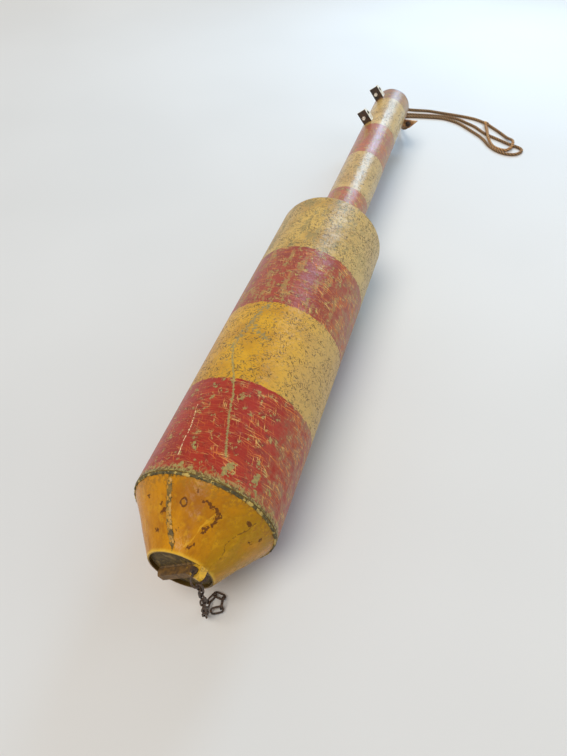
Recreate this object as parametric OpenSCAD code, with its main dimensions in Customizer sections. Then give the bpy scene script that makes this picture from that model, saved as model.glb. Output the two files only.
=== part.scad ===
// Steel spar buoy lying on a floor: a round float with a cone at each end, a tube mast with
// two staff brackets and a rope lug, and a mooring plate with a shackle and a stub of chain.
// Seen along +Y, from the tail to the mast. The floor is at Z = 0.

/* [Float] */
// Outer radius of the float
float_r = 203; // [150:1:260]
// Length of the float's straight barrel
float_len = 1287; // [900:1:1600]
// Length of the cone at each end of the float
cone_len = 158; // [110:1:220]
// Radius of the iron ballast in the tail end
ballast_r = 120; // [80:1:160]
// Length of the iron ballast
ballast_len = 80; // [40:1:200]

/* [Tail] */
// Outer radius of the rim at the tail
tail_r = 90; // [70:1:120]
// Wall of the rim at the tail
rim_wall = 5; // [3:1:10]
// Depth from the rim to the end plate
tail_recess = 10; // [6:1:20]
// Thickness of the end plate
end_plate_t = 8; // [5:1:14]
// Thickness of the mooring plate
plate_t = 20; // [14:1:26]
// Height of the mooring plate above the end plate at its eye
plate_h = 40; // [34:1:60]
// Height of the mooring plate over the rest of its length
plate_low_h = 26; // [22:1:34]
// Angle of the mooring plate, from the right-hand side upwards
plate_angle = 41; // [20:1:60]
// Distance of the mooring eye from the buoy's axis
eye_u = 84; // [60:1:95]
// Radius of the steel round the mooring eye
eye_rim = 14; // [12:1:18]

/* [Shackle and chain] */
// Radius of the shackle's pin
pin_r = 5; // [4:0.5:7]
// Radial play of the shackle's pin in the mooring eye
pin_play = 1; // [0.5:0.25:2]
// Thickness of the shackle's bow
bow_d = 6; // [5:0.5:9]
// Play of the shackle beside the mooring plate, on each side
bow_play = 3; // [2:0.5:6]
// Length of the straight legs of the bow
leg_len = 17; // [14:1:24]
// Thickness of the chain's wire
wire_d = 6; // [5:0.5:8]
// Inner length of a chain link
link_inner_len = 28; // [24:1:36]
// Inner width of a chain link
link_inner_w = 10; // [9:0.5:12]

/* [Mast] */
// Outer radius of the mast
mast_r = 90; // [70:1:120]
// Length of the mast that shows above the float's barrel, with its cap
mast_len = 1291; // [900:1:1600]
// Depth of the mast's foot in the top cone
mast_socket = 60; // [30:1:90]
// Thickness of the mast's cap
cap_t = 8; // [5:1:14]

/* [Staff brackets] */
// Distance of the upper bracket from the mast's end
bracket_from_end = 95; // [60:1:300]
// Distance between the two brackets
bracket_gap = 278; // [150:1:330]
// Angle of the brackets, from the right-hand side upwards
bracket_angle = 128; // [90:1:170]
// Distance from the mast's surface to the bracket's outer edge
bracket_h = 62; // [45:1:80]
// Width of the bracket's front plate
bracket_w = 44; // [36:1:60]
// Depth of the bracket's side plate along the mast
bracket_d = 36; // [28:1:50]
// Depth of the bracket's side plate at its outer edge
bracket_tip_d = 14; // [12:1:26]
// Height of the side plate's sloping back edge
bracket_slope_h = 28; // [10:1:40]
// Thickness of the bracket's plates
bracket_t = 8; // [5:1:11]
// Radius of the staff hole in the side plate
staff_hole_r = 6; // [4:0.5:7]
// Distance of the staff hole from the mast's surface
staff_hole_out = 38; // [30:1:42]
// Distance of the staff hole behind the bracket's front plate
staff_hole_back = 9; // [8:1:14]
// Radius of the clamp bolt
bolt_r = 5; // [4:0.5:7]
// Distance of the clamp bolt from the mast's surface
bolt_out = 28; // [22:1:34]

/* [Rope lug] */
// Distance of the rope lug from the mast's end
lug_from_end = 41; // [15:1:90]
// Angle of the rope lug, from the right-hand side upwards
lug_angle = -30; // [-60:1:0]
// Distance from the mast's surface to the lug's tip
lug_h = 62; // [50:1:80]
// Width of the lug across its outer edge
lug_w = 56; // [44:1:70]
// Thickness of the lug
lug_t = 10; // [8:1:14]

/* [Rope] */
// Thickness of the rope
rope_d = 15; // [10:1:16]

/* [Hidden] */
$fn = 96;

seat_gap = 0.3;

mast_end = float_len + mast_len;
upper_bracket_y = mast_end - bracket_from_end;
lower_bracket_y = upper_bracket_y - bracket_gap;
lug_y = mast_end - lug_from_end;
eye_out = plate_h - eye_rim;
eye_y = -cone_len + tail_recess - eye_out;
bow_half = plate_t / 2 + bow_play + bow_d / 2;
bow_end = eye_y - leg_len - bow_half - bow_d / 2;
mid = (bow_end + mast_end) / 2;
yellow = [0.86, 0.62, 0.12];
red = [0.70, 0.20, 0.13];
rust = [0.30, 0.20, 0.14];
hemp = [0.50, 0.34, 0.18];

// Puts a piece on the buoy's axis, y from the barrel's lower end, with its +X outwards at an angle
module on_axis(y, angle) {
    translate([0, y - mid, float_r])
        rotate([0, -angle, 0])
            children();
}

// Turns an outline of [radius, y] about the buoy's axis
module turned(outline) {
    on_axis(0, 0)
        rotate([-90, 0, 0])
            rotate_extrude()
                polygon(outline);
}

// The round-ended ring of one chain link, lying in XY with its length along Y
module chain_link(end_steps = 6, n = 8) {
    bend_r = (link_inner_w + wire_d) / 2;
    half_straight = (link_inner_len - link_inner_w) / 2;
    count = 2 * (end_steps + 1);
    corners = [for (side = [1, -1]) for (i = [0 : end_steps])
               let (a = (side > 0 ? 0 : 180) + i * 180 / end_steps, out = [cos(a), sin(a), 0])
               for (k = [0 : n - 1])
                   [0, side * half_straight, 0] + out * (bend_r + wire_d / 2 * cos(k * 360 / n))
                   + [0, 0, wire_d / 2 * sin(k * 360 / n)]];
    polyhedron(corners, [for (i = [0 : count - 1]) for (k = [0 : n - 1])
                         [i * n + k, i * n + (k + 1) % n,
                          (i + 1) % count * n + (k + 1) % n, (i + 1) % count * n + k]]);
}

// A link's turn is [azimuth to the left of +Y, climb, roll]: its direction and its width's
function heading(turn) = [-sin(turn[0]) * cos(turn[1]), cos(turn[0]) * cos(turn[1]), sin(turn[1])];
function width_of(turn) = let (across = cos(turn[2]), along = sin(turn[1]) * sin(turn[2]))
    [across * cos(turn[0]) - along * sin(turn[0]), across * sin(turn[0]) + along * cos(turn[0]),
     -cos(turn[1]) * sin(turn[2])];
function unit(v) = v / norm(v);

link_step = link_inner_len + wire_d;
wire_step = wire_d + seat_gap;

// The next link's end bend hooks into the last one's, square to both wires
function crossing(last, next) =
    let (square = unit(cross(width_of(last), width_of(next))))
    square * (heading(last) + heading(next)) < 0 ? -square : square;
function next_centre(centre, last, next) =
    centre + (heading(last) + heading(next)) * link_step / 2 - crossing(last, next) * wire_step;
function centres(turns, first) =
    [for (i = 0, c = first;
          i < len(turns);
          c = next_centre(c, turns[i], turns[min(i + 1, len(turns) - 1)]), i = i + 1) c];

// First link, hooked into the shackle's bow
bow_angle = 20;
hang_step = wire_d + 0.8;
bow_u = bow_half * cos(bow_angle);
first_link = [eye_u * cos(plate_angle) + bow_u * sin(plate_angle),
              eye_y - leg_len - bow_half * sin(bow_angle) - mid,
              float_r + eye_u * sin(plate_angle) - bow_u * cos(plate_angle) + hang_step - link_step / 2];

// The chain drops straight, slants in towards the cone, and lies on the floor in a bend. The first
// link is square to the bow, and those below turn by equal steps to be square to the slanted ones.
slack_azimuth = 44;
slanted_links = 3;
rest_z = link_inner_w / 2 + wire_d * 0.85;
slanted_drop = link_inner_len * slanted_links * 0.87;
upright_links = round((first_link[2] - rest_z - slanted_drop) / link_inner_len);
first_roll = 45;
half_turns = round(((upright_links - 1) * 90 - first_roll) / 180);
roll_step = (first_roll + 180 * half_turns) / (upright_links - 1);
landing_turn = [34, -50, 85];
floor_turns = [[6, 0, -15], [-24, 0, 75], [-96, 0, -15], [-168, 0, 75], [-240, 0, -15]];
hanging_links = upright_links + slanted_links;

function turns_at(slant) = concat(
    [for (i = [0 : upright_links - 1]) [slack_azimuth, -90, first_roll + i * roll_step]],
    [for (i = [0 : slanted_links - 1]) [slack_azimuth, -slant, i % 2 * 90]],
    [landing_turn],
    floor_turns);
function floor_height(slant) = centres(turns_at(slant), first_link)[hanging_links + 1][2];

// The slant that lays the last links on the floor, found by halving
function solved_slant(low, high, rounds) =
    let (middle = (low + high) / 2)
    rounds == 0 ? middle
    : floor_height(middle) > rest_z ? solved_slant(middle, high, rounds - 1)
    : solved_slant(low, middle, rounds - 1);
link_turns = turns_at(solved_slant(30, 89, 24));
link_centres = centres(link_turns, first_link);

module links(from, to) {
    for (i = [from : to]) {
        translate(link_centres[i])
            rotate([link_turns[i][1], 0, link_turns[i][0]])
                rotate([0, link_turns[i][2], 0])
                    chain_link();
    }
}

module float_barrel() {
    color(yellow)
        turned([[0, ballast_len + seat_gap], [ballast_r + seat_gap, ballast_len + seat_gap],
                [ballast_r + seat_gap, 0], [float_r, 0], [float_r, float_len], [0, float_len]]);
}

module ballast_block() {
    color([0.6, 0.6, 0.58])
        turned([[0, 0], [ballast_r, 0], [ballast_r, ballast_len], [0, ballast_len]]);
}

module bottom_cone() {
    bore_r = tail_r - rim_wall;
    color(yellow)
        turned([[0, 0], [float_r, 0], [tail_r, -cone_len], [bore_r, -cone_len],
                [bore_r, -cone_len + tail_recess + end_plate_t], [0, -cone_len + tail_recess + end_plate_t]]);
}

module end_plate() {
    plate_r = tail_r - rim_wall - seat_gap;
    front = -cone_len + tail_recess;
    color([0.42, 0.38, 0.28])
        turned([[0, front], [plate_r, front], [plate_r, front + end_plate_t], [0, front + end_plate_t]]);
}

module top_cone() {
    bore_r = mast_r + seat_gap;
    color(yellow)
        turned([[0, float_len], [float_r, float_len], [mast_r + rim_wall, float_len + cone_len],
                [bore_r, float_len + cone_len], [bore_r, float_len + cone_len - mast_socket],
                [0, float_len + cone_len - mast_socket]]);
}

module mast_tube() {
    foot = float_len + cone_len - mast_socket;
    color(red)
        turned([[0, foot], [mast_r, foot], [mast_r, mast_end - cap_t], [0, mast_end - cap_t]]);
}

module mast_cap() {
    color(yellow)
        turned([[0, mast_end - cap_t], [mast_r, mast_end - cap_t], [mast_r, mast_end], [0, mast_end]]);
}

// The mooring plate stands on the end plate, with its length along +X
module mooring_plate() {
    seat = tail_r - rim_wall - 1;
    over = tail_recess + 1;
    color(yellow)
        on_axis(-cone_len + tail_recess, plate_angle)
            rotate([180, 0, 0])
                translate([0, 0, -plate_t / 2])
                    linear_extrude(plate_t)
                        difference() {
                            union() {
                                polygon([[-seat, 0], [seat, 0], [seat, over], [eye_u + eye_rim, over],
                                         [eye_u + eye_rim, eye_out], [eye_u, plate_h],
                                         [eye_u - 3 * eye_rim, plate_low_h],
                                         [over - seat, plate_low_h], [-seat, over]]);
                                translate([eye_u, eye_out])
                                    circle(r = eye_rim);
                            }
                            translate([eye_u, eye_out])
                                circle(r = pin_r + pin_play);
                        }
}

// Puts a piece at the mooring eye, with +Z along the eye and +Y away from the tail
module at_eye() {
    on_axis(eye_y, plate_angle)
        translate([eye_u, 0, 0])
            rotate([180, 0, 0])
                children();
}

module shackle_bow() {
    eye_r = pin_r + 4;
    eye_t = bow_d + 1;
    color(rust)
        at_eye() {
            for (side = [-1, 1]) {
                translate([0, 0, side * bow_half])
                    difference() {
                        union() {
                            translate([0, 0, -eye_t / 2])
                                cylinder(r = eye_r, h = eye_t);
                            rotate([-90, 0, 0])
                                cylinder(r = bow_d / 2, h = leg_len);
                        }
                        translate([0, 0, -bow_d])
                            cylinder(r = pin_r + seat_gap / 2, h = 2 * bow_d);
                    }
            }
            translate([0, leg_len, 0])
                rotate([0, 90, 0])
                    rotate_extrude(angle = 180)
                        translate([bow_half, 0])
                            circle(r = bow_d / 2);
        }
}

module shackle_pin() {
    head_t = 5;
    reach = bow_half + bow_d / 2 + 1;
    color(rust)
        at_eye() {
            translate([0, 0, -reach])
                cylinder(r = pin_r, h = 2 * reach);
            for (z = [-reach - head_t, reach]) {
                translate([0, 0, z])
                    cylinder(r = pin_r * 1.7, h = head_t, $fn = 6);
            }
        }
}

module hanging_chain() {
    color(rust)
        links(0, hanging_links - 1);
}

module heaped_chain() {
    color(rust)
        links(hanging_links, len(link_turns) - 1);
}

// Staff bracket: a front plate across the mast, a side plate along it with a sloping back
module staff_bracket(y) {
    foot = mast_r - 6;
    top = mast_r + bracket_h;
    color([0.72, 0.66, 0.50])
        difference() {
            on_axis(y, bracket_angle) {
                translate([foot, 0, -bracket_w / 2])
                    cube([top - foot, bracket_t, bracket_w]);
                translate([0, 0, -bracket_w / 2])
                    linear_extrude(bracket_t)
                        polygon([[foot, 0], [top, 0], [top, bracket_tip_d], [top - bracket_slope_h, bracket_d],
                                 [foot, bracket_d]]);
            }
            on_axis(y - 1, 0)
                rotate([-90, 0, 0])
                    cylinder(r = mast_r + seat_gap, h = bracket_d + 2);
            on_axis(y + bracket_t + staff_hole_back, bracket_angle)
                translate([mast_r + staff_hole_out, 0, -bracket_w])
                    cylinder(r = staff_hole_r, h = 2 * bracket_w);
            on_axis(y - 1, bracket_angle)
                translate([mast_r + bolt_out, 0, bracket_t / 2])
                    rotate([-90, 0, 0])
                        cylinder(r = bolt_r + seat_gap, h = bracket_t + 2);
        }
}

module lower_bracket() {
    staff_bracket(lower_bracket_y);
}

module upper_bracket() {
    staff_bracket(upper_bracket_y);
}

// Clamp bolts through the brackets' front plates, heads towards the tail
module bracket_bolts() {
    head_t = 7;
    color([0.75, 0.72, 0.66])
        for (y = [lower_bracket_y, upper_bracket_y]) {
            on_axis(y, bracket_angle)
                translate([mast_r + bolt_out, 0, bracket_t / 2])
                    rotate([-90, 0, 0]) {
                        translate([0, 0, -head_t - seat_gap])
                            cylinder(r = bolt_r * 1.8, h = head_t, $fn = 6);
                        translate([0, 0, -seat_gap])
                            cylinder(r = bolt_r, h = bracket_t + 14);
                    }
        }
}

// Pointed plate with a hole for the rope, its upper edge level
lug_hole_r = mast_r + lug_h * 0.5;
module rope_lug() {
    foot = mast_r - 6;
    tip = mast_r + lug_h;
    color([0.50, 0.30, 0.16])
        difference() {
            on_axis(lug_y, lug_angle)
                rotate([90, 0, 0])
                    translate([0, 0, -lug_t])
                        linear_extrude(lug_t)
                            difference() {
                                polygon([[foot, -18], [foot, 0], [mast_r, 0], [tip, lug_w * 0.68],
                                         [tip - 12, -lug_w * 0.32], [mast_r + 13, -33]]);
                                translate([lug_hole_r, 0])
                                    circle(r = rope_d / 2 + 1);
                            }
            on_axis(lug_y - 1, 0)
                rotate([-90, 0, 0])
                    cylinder(r = mast_r + seat_gap, h = lug_t + 2);
        }
}

// Where the rope passes the lug, in the part's own axes
lug_hole = [lug_hole_r * cos(lug_angle),
            lug_y - mid,
            float_r + lug_hole_r * sin(lug_angle)];

// Route of the rope from the lug's hole down as [x, y, z]
rope_drop = [
    [0, 0, 0], [0, 25, 0], [-3, 60, -25], [-18, 110, -75], [-45, 170, -108]
];
// Route on the floor as [x, y, lift], from under the mast's end out, round its bight, back, and out
// again to its eye, which rides over the strands below
rope_floor = [
    [30, 246, 0], [25, 296, 0], [50, 328, 0], [115, 348, 0], [180, 361, 0], [245, 371, 0],
    [300, 361, 0], [355, 334, 0], [400, 294, 0], [445, 252, 0], [485, 212, 0], [514, 171, 0],
    [540, 124, 0], [582, 79, 0], [632, 56, 0], [680, 61, 0], [710, 92, 0], [717, 124, 0],
    [700, 146, 0], [668, 160, 0], [630, 180, 0], [592, 204, 0], [550, 228, 0], [512, 252, 0],
    [475, 290, 0], [440, 326, 0], [390, 358, 0], [340, 388, 0], [280, 398, 0], [220, 392, 0],
    [135, 378, 0], [60, 364, 0], [0, 352, 0], [-42, 346, 0], [-76, 362, 0], [-86, 390, 0],
    [-68, 417, 0], [-30, 426, 0], [45, 424, 0], [105, 432, 0], [165, 442, 0], [240, 438, 0],
    [320, 434, 0], [385, 428, 0], [450, 412, 0], [505, 374, 2], [575, 308, 0], [630, 238, 3],
    [658, 191, 15], [664, 151, 18], [658, 118, 8], [635, 96, 0], [602, 96, 0], [565, 117, 2],
    [540, 158, 8], [525, 201, 17], [518, 246, 18], [512, 296, 10], [506, 336, 3], [504, 358, 11]
];

// A round tube swept along points, with one ring of corners at each
function ring_at(points, i, r, n) =
    let (ahead = unit(points[min(i + 1, len(points) - 1)] - points[max(i - 1, 0)]),
         side = unit(cross(ahead, abs(ahead[2]) > 0.9 ? [1, 0, 0] : [0, 0, 1])),
         over = cross(side, ahead))
    [for (k = [0 : n - 1]) points[i] + r * (side * cos(k * 360 / n) + over * sin(k * 360 / n))];

module tube_along(points, r, n = 8) {
    count = len(points);
    rings = [for (i = [0 : count - 1]) each ring_at(points, i, r, n)];
    sides = [for (i = [0 : count - 2]) for (k = [0 : n - 1])
             [i * n + k, i * n + (k + 1) % n, (i + 1) * n + (k + 1) % n, (i + 1) * n + k]];
    polyhedron(rings, concat([[for (k = [n - 1 : -1 : 0]) k]], sides,
                             [[for (k = [0 : n - 1]) (count - 1) * n + k]]));
}

module rope() {
    color(hemp)
        tube_along(concat([for (p = rope_drop) p + lug_hole],
                          [for (p = rope_floor) p + [0, mast_end - mid, rope_d / 2 + seat_gap]]), rope_d / 2);
}

// Stopper knot on the tail side of the lug
module rope_knot() {
    knot_h = rope_d * 1.1;
    color(hemp)
        translate(lug_hole + [0, -seat_gap, 0])
            rotate([90, 0, 0])
                cylinder(r1 = rope_d * 1.1, r2 = rope_d * 0.75, h = knot_h, $fn = 12);
}

float_barrel();
bottom_cone();
top_cone();
ballast_block();
end_plate();
mooring_plate();
shackle_bow();
shackle_pin();
hanging_chain();
heaped_chain();
mast_tube();
mast_cap();
lower_bracket();
upper_bracket();
bracket_bolts();
rope_lug();
rope();
rope_knot();
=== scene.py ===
import math
import bpy
import bmesh
from mathutils import Matrix, Vector, noise


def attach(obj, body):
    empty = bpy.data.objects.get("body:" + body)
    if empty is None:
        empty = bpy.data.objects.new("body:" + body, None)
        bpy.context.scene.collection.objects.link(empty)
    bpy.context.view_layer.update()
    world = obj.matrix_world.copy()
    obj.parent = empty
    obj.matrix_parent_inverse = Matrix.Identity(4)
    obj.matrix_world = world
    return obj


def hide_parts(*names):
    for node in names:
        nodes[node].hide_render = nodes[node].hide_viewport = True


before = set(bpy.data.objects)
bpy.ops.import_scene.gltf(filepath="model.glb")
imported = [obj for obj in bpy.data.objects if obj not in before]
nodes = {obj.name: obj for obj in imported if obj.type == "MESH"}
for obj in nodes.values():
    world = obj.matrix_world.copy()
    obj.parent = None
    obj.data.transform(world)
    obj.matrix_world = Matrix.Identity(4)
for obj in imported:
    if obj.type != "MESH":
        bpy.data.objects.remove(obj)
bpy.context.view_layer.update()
scene = bpy.context.scene
scene.view_settings.view_transform = "Standard"
print("stage: frame loaded")

# in metres: radius of float and mast, height of their axis, the barrel's lower seam and the mast's end along it
floatRadius = 0.203
mastRadius = 0.09
axisZ = 0.203
seamY = -1.184
mastEndY = 1.394

# camera at the photograph's angle
view = {"place": (0.455, -1.916, 1.675), "look": (-0.2051, 0.64, -0.7405), "lens": 29.52, "sensor": 36, "far": 60}
camera = bpy.data.objects.new("camera", bpy.data.cameras.new("camera"))
scene.collection.objects.link(camera)
camera.location = view["place"]
camera.rotation_mode = "QUATERNION"
camera.rotation_quaternion = Vector(view["look"]).to_track_quat("-Z", "Y")
camera.data.lens = view["lens"]
camera.data.sensor_width = view["sensor"]
camera.data.clip_end = view["far"]
scene.camera = camera


# a point by an angle from the right upwards, its way out and across at that angle, and its way up from the seam
def onBuoy(angle, out, across, along):
    a = math.radians(angle)
    return Vector((out * math.cos(a) - across * math.sin(a), seamY + along,
                   axisZ + out * math.sin(a) + across * math.cos(a)))


# a node with its settings: an input given as a socket is linked, anything else is set
def addNode(tree, kind, inputs=None, **settings):
    made = tree.nodes.new("ShaderNode" + kind)
    for key, value in settings.items():
        setattr(made, key, value)
    for key, value in (inputs or {}).items():
        if isinstance(value, bpy.types.NodeSocket):
            tree.links.new(value, made.inputs[key])
        else:
            made.inputs[key].default_value = value
    return made


# a node in the tree of the sockets that it is given
def joined(kind, inputs, **settings):
    tree = next(value.id_data for value in inputs.values() if isinstance(value, bpy.types.NodeSocket))
    return addNode(tree, kind, inputs, **settings)


def maths(operation, a, b=0.0, c=0.5):
    return joined("Math", {0: a, 1: b, 2: c}, operation=operation).outputs[0]


def vectors(operation, inputs, output=0):
    return joined("VectorMath", inputs, operation=operation).outputs[output]


# a value times a number, and a number or a value more
def scaled(value, by, plus):
    return maths("MULTIPLY_ADD", value, by, plus)


# one operation through all the values in turn
def inTurn(operation, values):
    whole = values[0]
    for value in values[1:]:
        whole = maths(operation, whole, value)
    return whole


def product(*values):
    return inTurn("MULTIPLY", values)


def most(*values):
    return inTurn("MAXIMUM", values)


def ramp(value, low, high, toLow=0.0, toHigh=1.0):
    return joined("MapRange", {"Value": value, "From Min": low, "From Max": high, "To Min": toLow, "To Max": toHigh},
                  interpolation_type="SMOOTHSTEP").outputs[0]


def blendColour(amount, a, b, how="MIX"):
    return joined("Mix", {0: amount, 6: a, 7: b}, data_type="RGBA", blend_type=how).outputs[2]


# colours laid over another one in turn, each where its mask is and at a share of its strength
def layers(colour, *rows):
    for tint, mask, share in rows:
        colour = blendColour(maths("MULTIPLY", mask, share), colour, tint)
    return colour


# a colour multiplied by a tint where its mask is
def tinted(colour, tint, mask):
    return blendColour(mask, colour, blendColour(1.0, colour, tint, "MULTIPLY"))


def grain(where, scale, detail=3.0, rough=0.55):
    return joined("TexNoise", {"Vector": where, "Scale": scale, "Detail": detail, "Roughness": rough}).outputs[0]


# the map for strokes: turned by an angle in its plane, then scaled by how many strokes to a metre across and along
def stretched(where, turn, across, along):
    return joined("Mapping", {"Vector": where, "Rotation": (0, 0, math.radians(turn)),
                              "Scale": (1 / across, 1 / along, 1)}, vector_type="TEXTURE").outputs[0]


# thin strokes of noise of some kinds, each with its turn and how many go to a metre along
def strokesOn(where, kinds, across, low, high):
    return most(*[ramp(grain(stretched(where, turn, across, along), 1.0, 2, 0.6), low, high)
                  for turn, along in kinds])


# the map pushed about by noise, so that marks on it get crooked edges
def crooked(where, scale, reach):
    push = joined("TexNoise", {"Vector": where, "Scale": scale, "Detail": 2.0}).outputs[1]
    push = vectors("SUBTRACT", {0: push, 1: (0.5, 0.5, 0.5)})
    push = vectors("SCALE", {0: push, "Scale": 2 * reach})
    return vectors("ADD", {0: where, 1: push})


def newMaterial(name, **sockets):
    material = bpy.data.materials.new(name)
    material.use_nodes = True
    tree = material.node_tree
    for key, value in sockets.items():
        tree.nodes["Principled BSDF"].inputs[key.replace("_", " ")].default_value = value
    return material, tree


# links a material's colour, and its roughness and bump if they are given: the varnish follows the same bump
def dressed(material, colour, rough=None, height=None, depth=0.0):
    tree = material.node_tree
    sources = {"Base Color": colour, "Roughness": rough}
    if height:
        bump = joined("Bump", {"Height": height, "Distance": depth, "Strength": 0.9}).outputs[0]
        sources["Normal"] = sources["Coat Normal"] = bump
    for key, source in sources.items():
        if source:
            tree.links.new(source, tree.nodes["Principled BSDF"].inputs[key])
    return material


def objectPlace(tree):
    return addNode(tree, "TexCoord").outputs["Object"]


def split(vector):
    return joined("SeparateXYZ", {0: vector}).outputs


# which way the surface faces, as its x, y and z
def facingOf(tree):
    return split(addNode(tree, "TexCoord").outputs["Normal"])


# [way round the buoy from its top, way along it from the seam, 0] in metres
def wrappedMap(tree, radius):
    x, y, z = split(objectPlace(tree))
    height = maths("SUBTRACT", z, axisZ)
    around = maths("MULTIPLY", maths("ARCTAN2", x, height), radius)
    along = maths("SUBTRACT", y, seamY)
    return joined("CombineXYZ", {0: around, 1: along, 2: 0.0}).outputs[0], around, along


# a mark's place on the wrapped map, from millimetres along and degrees from the right upwards
def onMap(radius, along, angle):
    return radius * math.radians(90 - angle), along / 1000, 0.0


def distanceFrom(where, point):
    return vectors("DISTANCE", {0: where, 1: point}, "Value")


# how far the map is from a line between two points
def distanceToLine(where, start, end):
    reach = Vector(end) - Vector(start)
    fromStart = vectors("SUBTRACT", {0: where, 1: start})
    share = vectors("DOT_PRODUCT", {0: fromStart, 1: tuple(reach / max(reach.length_squared, 1e-9))}, "Value")
    share = maths("MINIMUM", maths("MAXIMUM", share, 0.0), 1.0)
    return distanceFrom(fromStart, vectors("SCALE", {0: tuple(reach), "Scale": share}))


# marks: how far each reaches, how hard it is to enter, and its lines through [millimetres along, degrees]
floatMarks = {
    "wornLine": (5.2, 0.34, [
        [(471, 115), (394, 107), (326, 98), (264, 92), (197, 88), (128, 82), (75, 77)]]),
    "paleScratch": (3.4, 0.44, [
        [(222, 118), (178, 115), (139, 113), (96, 113), (48, 111)], [(46, 125), (22, 125)]]),
    "primer": (13.0, 0.3, [[(70, 50), (44, 52)], [(55, 71), (30, 73)]]),
    "chip": (8.0, 0.36, [
        [(104, 53), (92, 52)], [(58, 38), (52, 34)], [(74, 101), (70, 100)], [(92, 102), (89, 102)],
        [(152, 68), (148, 68)], [(132, 71), (121, 72)], [(294, 110), (288, 109)], [(249, 108), (244, 107)],
        [(278, 98), (273, 97)], [(114, 71), (108, 71)], [(301, 74), (296, 74)], [(227, 74), (222, 74)],
        [(24, 62), (18, 60)], [(28, 47), (20, 45)], [(34, 92), (26, 91)], [(24, 104), (18, 108)],
        [(190, 99), (186, 98)]]),
    "smudge": (32.0, 0.445, [
        [(650, 100), (590, 106), (530, 110), (450, 114)], [(540, 102), (515, 95), (500, 88)]]),
}
coneMarks = {
    "rustLine": (4.9, 0.34, [
        [(-44, 80), (-43, 76), (-47, 72), (-49, 68), (-54, 64), (-60, 60)], [(-54, 64), (-68, 63)],
        [(-60, 61), (-77, 63), (-88, 64), (-94, 69)], [(-88, 65), (-103, 68)],
        [(-129, 71), (-136, 74), (-140, 78)]]),
    "rustChip": (5.0, 0.35, [
        [(-62, 118), (-65, 118)], [(-77, 113), (-81, 116), (-84, 118)], [(-117, 126), (-118, 122)],
        [(-45, 136), (-47, 135)], [(-28, 86), (-31, 86)], [(-36, 37), (-37, 34)], [(-38, 14), (-40, 12)],
        [(-58, 20), (-60, 17)], [(-112, 96), (-114, 95)]]),
    "strip": (12.0, 0.38, [
        [(-8, 111), (-18, 110), (-51, 110), (-78, 109), (-101, 107), (-131, 101), (-148, 97)]]),
    "crease": (2.8, 0.36, [
        [(-7, 30), (-31, 32), (-46, 32), (-68, 36), (-86, 38), (-98, 38), (-108, 33), (-128, 30)]]),
    # a painted highlight along the dent's ridge
    "ridgeHighlight": (4.6, 0.34, [
        [(-54, 64), (-74, 68), (-92, 72), (-106, 73), (-128, 76), (-139, 82)]]),
}
# how steeply a mark ends, how soft its edge is, and how far chances go apart
markEdge = {"pull": 300, "under": 0.01, "over": 0.03, "cellSpread": 0.36, "cellLeast": 0.32}


# a chance for each small cell of the map, which gives marks blocky edges
def cellChance(where, scale):
    cell = joined("TexVoronoi", {"Vector": where, "Scale": scale}).outputs["Color"]
    chance = joined("SeparateColor", {0: cell}).outputs[0]
    return scaled(chance, markEdge["cellSpread"], markEdge["cellLeast"])


# 1 on the marks and 0 off them: a chance gets over the bar more easily the nearer the mark is
def markMask(where, radius, mark, chance):
    reach, bar, lines = mark
    nearest = inTurn("MINIMUM", [distanceToLine(where, onMap(radius, *start), onMap(radius, *end))
                                 for line in lines for start, end in zip(line, line[1:])])
    share = scaled(nearest, -markEdge["pull"] / reach, chance)
    return ramp(share, bar - markEdge["under"], bar + markEdge["over"])


# bands of paint: where each ends along the buoy in millimetres, its colour, how red and how worn it is
bandTable = [
    (322, (0.36, 0.019, 0.005, 1), 1.0, 0.42),
    (659, (0.66, 0.345, 0.012, 1), 0.0, 0.45),
    (957, (0.33, 0.05, 0.026, 1), 1.0, 0.85),
    (1445, (0.59, 0.37, 0.085, 1), 0.0, 0.95),
    (1565, (0.38, 0.105, 0.05, 1), 0.9, 0.8),
    (1889, (0.59, 0.375, 0.125, 1), 0.0, 0.7),
    (2167, (0.37, 0.105, 0.062, 1), 0.9, 0.8),
    (2467, (0.58, 0.365, 0.12, 1), 0.0, 0.65),
    (2600, (0.28, 0.13, 0.08, 1), 0.5, 0.7)]


# one step ramp along the buoy, from a value for each band
def bandSteps(along, values):
    whole = bandTable[-1][0]
    made = joined("ValToRGB", {0: maths("DIVIDE", along, whole / 1000)})
    made.color_ramp.interpolation = "CONSTANT"
    steps = made.color_ramp.elements
    steps[0].position, steps[0].color = 0.0, values[0]
    steps[1].position, steps[1].color = bandTable[0][0] / whole, values[1]
    for band, value in zip(bandTable[1:], values[2:]):
        steps.new(band[0] / whole).color = value
    return made.outputs[0]


# colours of the banded paint and its wear, then how strongly each kind of wear shows
buoyPaint = {
    "scratch": (0.8, 0.47, 0.13, 1), "orange": (0.66, 0.17, 0.022, 1), "olive": (0.26, 0.21, 0.07, 1),
    "crack": (0.07, 0.042, 0.012, 1), "bleached": (0.62, 0.44, 0.17, 1), "brushed": (0.52, 0.085, 0.014, 1),
    "tan": (0.38, 0.3, 0.085, 1), "cream": (0.88, 0.72, 0.4, 1), "grey": (0.22, 0.195, 0.085, 1),
    "wornRed": (0.38, 0.2, 0.1, 1), "dirt": (0.105, 0.076, 0.018, 1),
    "cloudTint": (0.58, 0.44, 0.32, 1), "blotTint": (0.5, 0.62, 0.7, 1), "fineTint": (0.52, 0.4, 0.26, 1),
    "share": {"mottle": 0.55, "flake": 0.85, "brushed": 0.3, "fade": 0.65, "bleached": 0.55, "pepper": 0.62,
              "crack": 0.88, "smudge": 0.78, "primer": 0.92, "line": 0.9, "spatter": 0.75, "seam": 0.92},
    "scratchKinds": ((86, 9), (98, 12), (66, 15), (18, 20)), "crackKinds": ((22, 52), (-46, 60), (74, 46)),
    "varnish": 0.42, "mastVarnish": 0.65, "varnishRough": 0.15, "shine": 0.1, "bump": 0.0022}


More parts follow.
